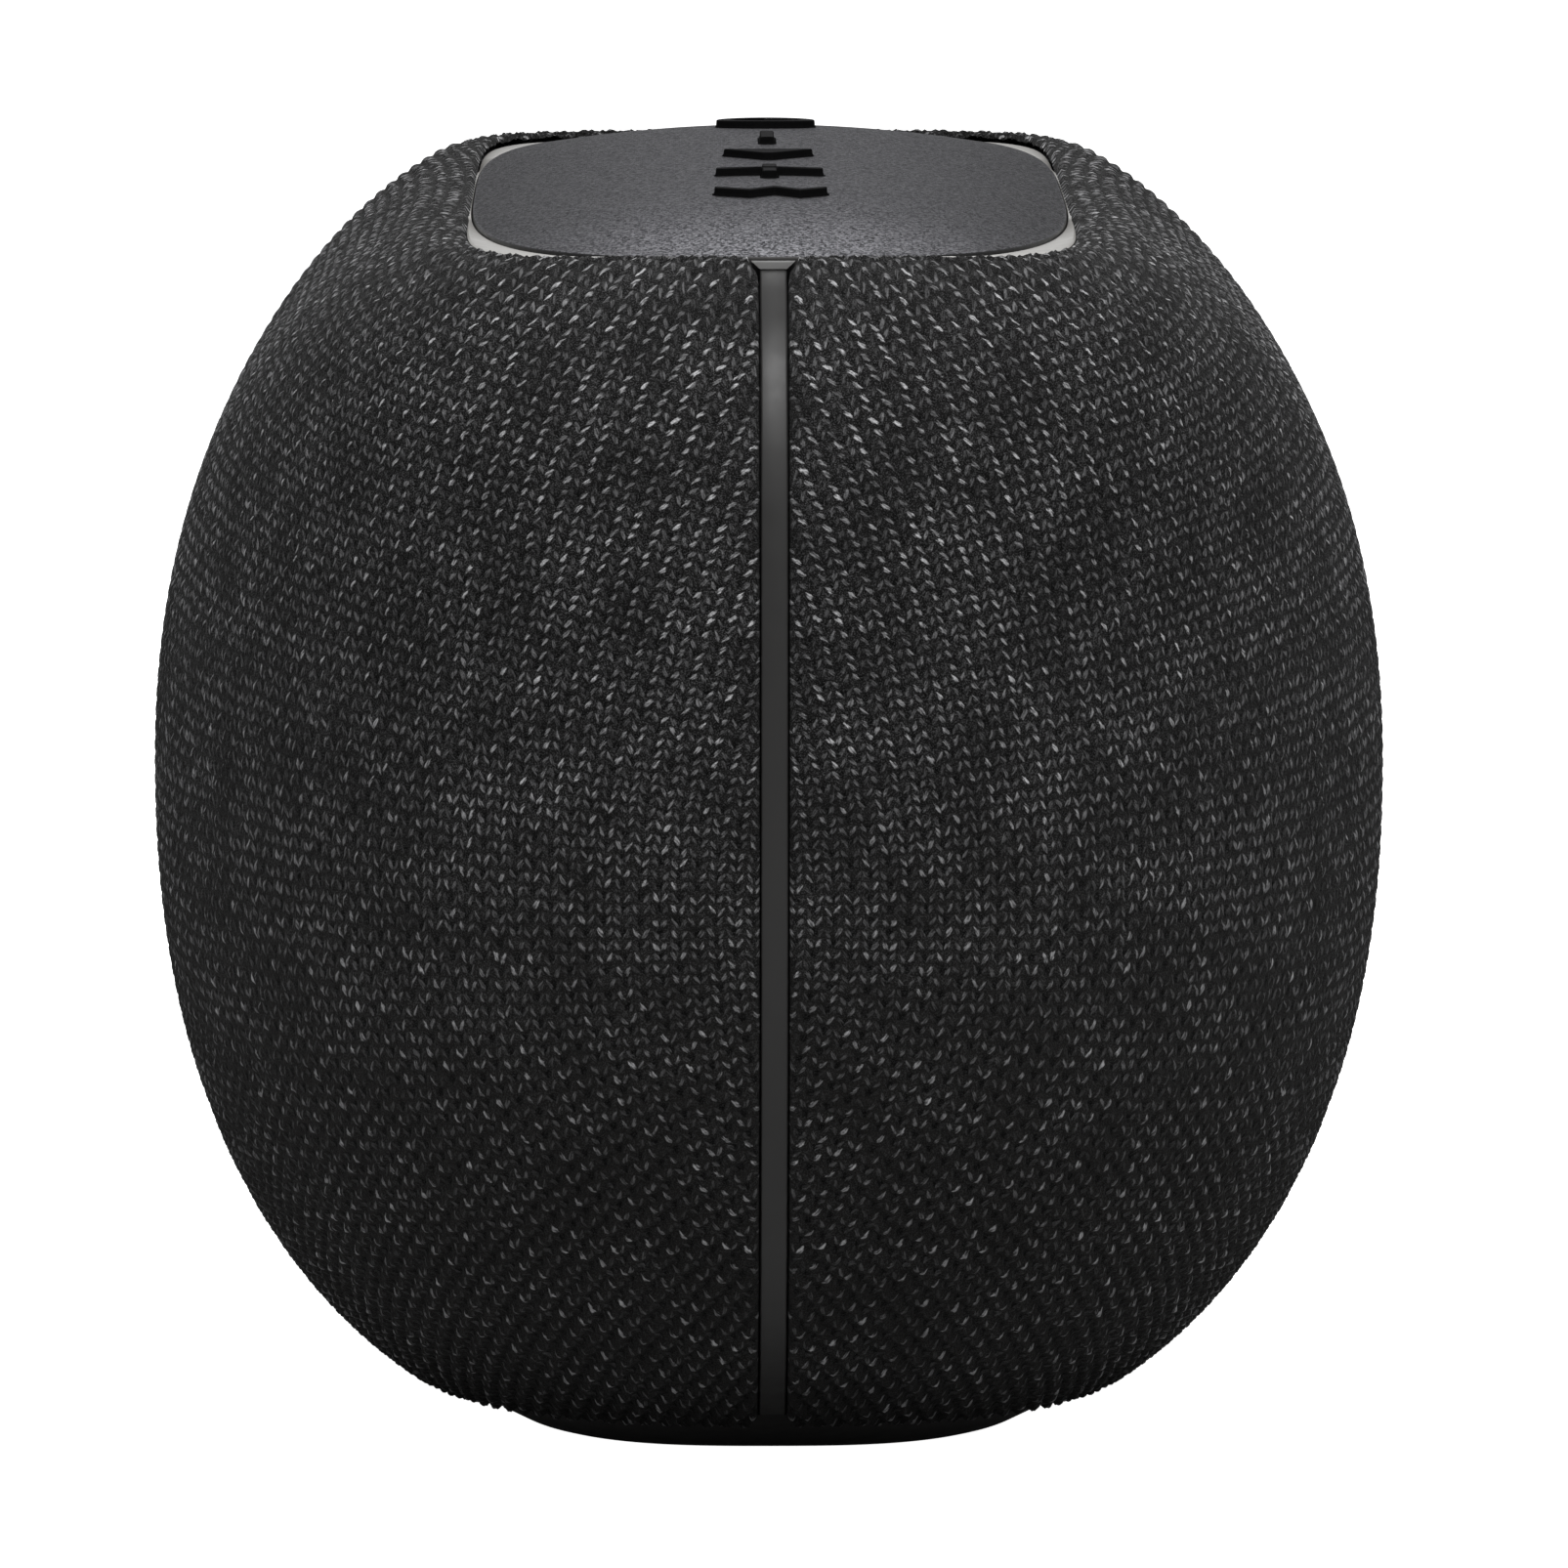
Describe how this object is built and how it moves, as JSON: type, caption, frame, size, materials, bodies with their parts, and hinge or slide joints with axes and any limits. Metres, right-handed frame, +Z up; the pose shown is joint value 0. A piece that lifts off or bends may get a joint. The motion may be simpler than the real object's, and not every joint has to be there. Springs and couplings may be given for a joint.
{
  "type": "portable voice speaker hub",
  "caption": "Loaf-shaped smart speaker hub in charcoal knit on a rubber foot, with a domed top plate carrying raised touch keys and a seam strip down each end.",
  "frame": {"origin": "centre of the foot's underside, on the surface that the hub stands on", "axes": "+Z up; Y along the hub's length, the end shown in the picture facing -Y; the woofer side, which is the front, faces -X and the charging port faces +X"},
  "size_m": [0.13, 0.1998, 0.1318],
  "materials": {
    "knit": "charcoal melange three-dimensional knit",
    "strip": "matte dark grey",
    "plate": "fine-sparkle satin anodised dark grey",
    "bezel": "warm light grey satin",
    "key": "black with dark grey faces",
    "soft_rubber": "matte black",
    "housing_plastic": "fine moulded texture, black",
    "inner_plastic": "moulded, dark grey",
    "board": "green solder mask",
    "steel": "plated",
    "magnet": "dark ferrite and plated steel",
    "copper": "enamelled copper wire",
    "cone": "black coated paper and plate",
    "spider_cloth": "amber impregnated cloth",
    "silk": "coated silk",
    "cell_wrap": "shrink-wrapped"
  },
  "bodies": {
    "hub": {"fabric_front": "knit", "fabric_back": "knit", "seam_strip_left": "strip", "seam_strip_right": "strip", "housing_front": "housing_plastic", "housing_back": "housing_plastic", "woofer_grille": "housing_plastic", "tweeter_grille": "housing_plastic", "radiator_grille": "housing_plastic", "baffle_front": "inner_plastic", "baffle_back": "inner_plastic", "base_plate": "inner_plastic", "rubber_foot": "soft_rubber", "top_plate": "plate", "bezel_ring": "bezel", "key_mat": "soft_rubber", "key_board": "board", "key_pan": "inner_plastic", "woofer_frame": "steel", "woofer_magnet": "magnet", "woofer_surround": "soft_rubber", "woofer_spider": "spider_cloth", "tweeter_frame": "inner_plastic", "tweeter_magnet": "magnet", "tweeter_surround": "silk", "radiator_frame": "inner_plastic", "radiator_surround": "soft_rubber", "chassis": "inner_plastic", "battery_holder": "inner_plastic", "battery_cell_1": "cell_wrap", "battery_cell_2": "cell_wrap", "main_board": "board", "amplifier_shield": "steel", "radio_module": "steel", "port_bezel": "soft_rubber", "port_socket": "steel", "port_board": "board", "link_switch": "steel", "plus_switch": "steel", "play_switch": "steel", "minus_switch": "steel", "power_switch": "steel", "woofer_screw_1": "steel", "base_screw_1": "steel", "woofer_screw_2": "steel", "base_screw_2": "steel", "woofer_screw_3": "steel", "base_screw_3": "steel", "woofer_screw_4": "steel", "base_screw_4": "steel"},
    "link_key": {"link_button": "key"},
    "plus_key": {"plus_button": "key"},
    "play_key": {"play_button": "key"},
    "minus_key": {"minus_button": "key"},
    "power_key": {"power_button": "key"},
    "woofer_moving": {"woofer_cone": "cone", "woofer_coil": "copper"},
    "tweeter_moving": {"tweeter_dome": "silk"},
    "radiator_moving": {"radiator_plate": "cone"}
  },
  "joints": [
    {"name": "link_press", "type": "slide", "parent": "hub", "child": "link_key", "axis": [0, 0, -1], "range_m": [0, 0.0005], "stiffness_N_per_m": 3000},
    {"name": "plus_press", "type": "slide", "parent": "hub", "child": "plus_key", "axis": [0, 0, -1], "range_m": [0, 0.0005], "stiffness_N_per_m": 3000},
    {"name": "play_press", "type": "slide", "parent": "hub", "child": "play_key", "axis": [0, 0, -1], "range_m": [0, 0.0005], "stiffness_N_per_m": 3000},
    {"name": "minus_press", "type": "slide", "parent": "hub", "child": "minus_key", "axis": [0, 0, -1], "range_m": [0, 0.0005], "stiffness_N_per_m": 3000},
    {"name": "power_press", "type": "slide", "parent": "hub", "child": "power_key", "axis": [0, 0, -1], "range_m": [0, 0.0005], "stiffness_N_per_m": 3000},
    {"name": "woofer_travel", "type": "slide", "parent": "hub", "child": "woofer_moving", "axis": [-1, 0, 0], "range_m": [-0.002, 0.002], "stiffness_N_per_m": 1500},
    {"name": "tweeter_travel", "type": "slide", "parent": "hub", "child": "tweeter_moving", "axis": [-1, 0, 0], "range_m": [-0.0003, 0.0003], "stiffness_N_per_m": 3000},
    {"name": "radiator_travel", "type": "slide", "parent": "hub", "child": "radiator_moving", "axis": [1, 0, 0], "range_m": [-0.003, 0.003], "stiffness_N_per_m": 1200}
  ]
}
